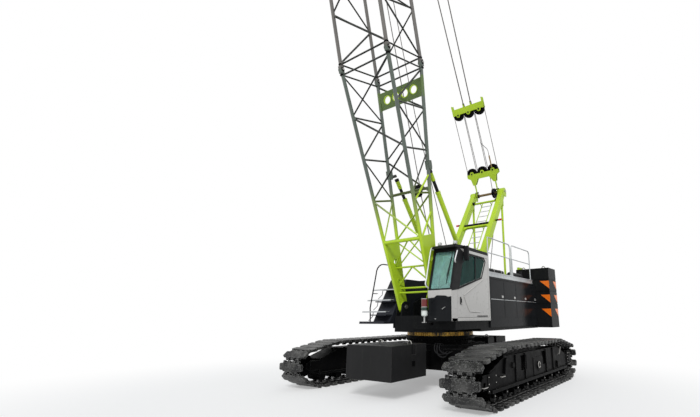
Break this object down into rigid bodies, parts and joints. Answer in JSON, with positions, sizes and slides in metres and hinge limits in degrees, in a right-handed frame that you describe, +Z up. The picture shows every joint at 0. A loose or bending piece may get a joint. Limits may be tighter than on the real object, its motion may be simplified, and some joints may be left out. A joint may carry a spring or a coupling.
{
  "type": "crawler crane",
  "caption": "Crawler crane with tracks, slewing house and cab, gantry, winches, and a lattice boom that luffs and carries a hook block.",
  "frame": {"origin": "centre of the bounding box on the ground, at rest", "axes": "+Z up, -Y towards the boom's side, +X towards the machine's left side, where the cab is"},
  "size_m": [6.39, 17.7366, 37.9124],
  "materials": {
    "lime_paint": "semi-gloss lime green paint",
    "grey_green_paint": "satin grey-green paint",
    "grey_brown_paint": "satin grey-brown paint",
    "charcoal_paint": "glossy charcoal paint",
    "black_paint": "satin black paint",
    "worn_shoe_steel": "dark cast steel, worn bright on the edges",
    "greased_ring_teeth": "machined steel under golden grease",
    "warm_light_grey_paint": "semi-gloss light grey paint",
    "galvanised_steel": "galvanised steel",
    "tinted_glass": "dark green-blue tinted glass",
    "seat_fabric": "dark woven seat fabric",
    "steel_wire": "stranded steel rope"
  },
  "bodies": {
    "undercarriage": {"carbody": "black_paint", "front_carbody_weight": "charcoal_paint", "rear_carbody_weight": "charcoal_paint", "slewing_ring": "greased_ring_teeth", "track_frame_left": "black_paint", "track_frame_right": "black_paint", "track_left": "worn_shoe_steel", "track_right": "worn_shoe_steel", "sprocket_left": "black_paint", "sprocket_right": "black_paint", "idler_left": "black_paint", "idler_right": "black_paint"},
    "superstructure": {"deck": "charcoal_paint", "house_left": "charcoal_paint", "house_right": "charcoal_paint", "engine": "black_paint", "cab_shell": "warm_light_grey_paint", "inner_side_glass": "tinted_glass", "windscreen": "tinted_glass", "operator_seat": "seat_fabric", "counterweight_tray": "charcoal_paint", "counterweight_left": "charcoal_paint", "counterweight_right": "charcoal_paint", "access_steps": "charcoal_paint", "step_handrail": "black_paint", "left_walkway": "galvanised_steel", "left_railing": "galvanised_steel", "gantry_masts": "lime_paint", "gantry_struts": "lime_paint"},
    "main_hoist": {"main_hoist_drum": "lime_paint"},
    "auxiliary_hoist": {"auxiliary_hoist_drum": "lime_paint"},
    "luffing_winch": {"luffing_drum": "lime_paint"},
    "cab_door": {"cab_door": "warm_light_grey_paint", "door_glass": "tinted_glass"},
    "boom": {"boom_foot": "grey_green_paint", "boom_insert_1": "grey_brown_paint", "boom_insert_2": "grey_brown_paint", "boom_head": "grey_brown_paint"},
    "guide_sheave": {"guide_sheave": "black_paint"},
    "lower_bail": {"lower_bail": "lime_paint"},
    "upper_bail": {"upper_bail": "lime_paint", "pendant_left": "steel_wire", "pendant_right": "steel_wire"},
    "backstop_tube_left": {"backstop_tube_left": "lime_paint"},
    "backstop_rod_left": {"backstop_rod_left": "black_paint"},
    "backstop_tube_right": {"backstop_tube_right": "lime_paint"},
    "backstop_rod_right": {"backstop_rod_right": "black_paint"},
    "head_sheave": {"head_sheave": "black_paint"},
    "hook_block": {"hook_block": "lime_paint", "hook_falls": "steel_wire"},
    "hook": {"hook": "black_paint"},
    "side_door_left_1": {"side_door_left_1": "charcoal_paint"},
    "side_door_left_2": {"side_door_left_2": "charcoal_paint"},
    "side_door_left_3": {"side_door_left_3": "charcoal_paint"},
    "side_door_left_4": {"side_door_left_4": "charcoal_paint"},
    "side_door_right_1": {"side_door_right_1": "charcoal_paint"},
    "side_door_right_2": {"side_door_right_2": "charcoal_paint"}
  },
  "joints": [
    {"name": "slew", "type": "hinge", "parent": "undercarriage", "child": "superstructure", "pos_m": [0, 2.97832, 1.37], "axis": [0, 0, 1], "continuous": true},
    {"name": "main_hoist_turn", "type": "hinge", "parent": "superstructure", "child": "main_hoist", "pos_m": [0, 3.19832, 2.42], "axis": [1, 0, 0], "continuous": true},
    {"name": "auxiliary_hoist_turn", "type": "hinge", "parent": "superstructure", "child": "auxiliary_hoist", "pos_m": [0, 4.47832, 2.42], "axis": [1, 0, 0], "continuous": true},
    {"name": "luffing_winch_turn", "type": "hinge", "parent": "superstructure", "child": "luffing_winch", "pos_m": [0, 5.63832, 2.42], "axis": [1, 0, 0], "continuous": true},
    {"name": "side_door_left_1_swing", "type": "hinge", "parent": "superstructure", "child": "side_door_left_1", "pos_m": [1.464, 3.67232, 2.5], "axis": [0, 0, -1], "range_deg": [0, 85]},
    {"name": "side_door_left_2_swing", "type": "hinge", "parent": "superstructure", "child": "side_door_left_2", "pos_m": [1.464, 4.68232, 2.5], "axis": [0, 0, -1], "range_deg": [0, 85]},
    {"name": "side_door_left_3_swing", "type": "hinge", "parent": "superstructure", "child": "side_door_left_3", "pos_m": [1.464, 5.69232, 2.5], "axis": [0, 0, -1], "range_deg": [0, 85]},
    {"name": "side_door_left_4_swing", "type": "hinge", "parent": "superstructure", "child": "side_door_left_4", "pos_m": [1.464, 6.70232, 2.5], "axis": [0, 0, -1], "range_deg": [0, 85]},
    {"name": "side_door_right_1_swing", "type": "hinge", "parent": "superstructure", "child": "side_door_right_1", "pos_m": [-1.464, 3.67232, 2.5], "axis": [0, 0, 1], "range_deg": [0, 85]},
    {"name": "side_door_right_2_swing", "type": "hinge", "parent": "superstructure", "child": "side_door_right_2", "pos_m": [-1.464, 4.68232, 2.5], "axis": [0, 0, 1], "range_deg": [0, 85]},
    {"name": "cab_door_swing", "type": "hinge", "parent": "superstructure", "child": "cab_door", "pos_m": [1.492, 3.43232, 2.8], "axis": [0, 0, 1], "range_deg": [0, 90]},
    {"name": "boom_luff", "type": "hinge", "parent": "superstructure", "child": "boom", "pos_m": [0, 1.84032, 2.22], "axis": [1, 0, 0], "range_deg": [-5.3, 44.7]},
    {"name": "guide_sheave_turn", "type": "hinge", "parent": "boom", "child": "guide_sheave", "pos_m": [0.12, 1.60335, 5.73194], "axis": [1, 0, 0], "continuous": true},
    {"name": "lower_bail_swing", "type": "hinge", "parent": "superstructure", "child": "lower_bail", "pos_m": [0, 6.77832, 7], "axis": [1, 0, 0], "range_deg": [-5.28, 44.36]},
    {"name": "luffing_line_reach", "type": "slide", "parent": "lower_bail", "child": "upper_bail", "axis": [0, -0.4127, 0.9109], "range_m": [-0.64, 5.24]},
    {"name": "head_sheave_turn", "type": "hinge", "parent": "boom", "child": "head_sheave", "pos_m": [0, -8.46832, 37.5524], "axis": [1, 0, 0], "range_deg": [-44.72, 5.32]},
    {"name": "hook_hoist", "type": "slide", "parent": "head_sheave", "child": "hook_block", "axis": [0, 0, -1], "range_m": [0, 14]},
    {"name": "hook_swivel", "type": "hinge", "parent": "hook_block", "child": "hook", "pos_m": [0, -8.46832, 33.5324], "axis": [0, 0, 1], "continuous": true},
    {"name": "backstop_left_tilt", "type": "hinge", "parent": "superstructure", "child": "backstop_tube_left", "pos_m": [0.66, 3.69832, 3.35], "axis": [1, 0, 0], "range_deg": [-4.3, 36.11]},
    {"name": "backstop_left_reach", "type": "slide", "parent": "backstop_tube_left", "child": "backstop_rod_left", "axis": [0, -0.6053, 0.796], "range_m": [-0.2, 1.54]},
    {"name": "backstop_right_tilt", "type": "hinge", "parent": "superstructure", "child": "backstop_tube_right", "pos_m": [-0.66, 3.69832, 3.35], "axis": [1, 0, 0], "range_deg": [-4.3, 36.11]},
    {"name": "backstop_right_reach", "type": "slide", "parent": "backstop_tube_right", "child": "backstop_rod_right", "axis": [0, -0.6053, 0.796], "range_m": [-0.2, 1.54]}
  ],
  "couplings": [
    {"joint": "lower_bail_swing", "follows": "boom_luff", "ratio": 0.99196},
    {"joint": "luffing_line_reach", "follows": "boom_luff", "m_per_rad": 6.6934},
    {"joint": "head_sheave_turn", "follows": "boom_luff", "ratio": -1},
    {"joint": "backstop_left_tilt", "follows": "boom_luff", "ratio": 0.80737},
    {"joint": "backstop_left_reach", "follows": "boom_luff", "m_per_rad": 1.9424},
    {"joint": "backstop_right_tilt", "follows": "boom_luff", "ratio": 0.80737},
    {"joint": "backstop_right_reach", "follows": "boom_luff", "m_per_rad": 1.9424}
  ]
}
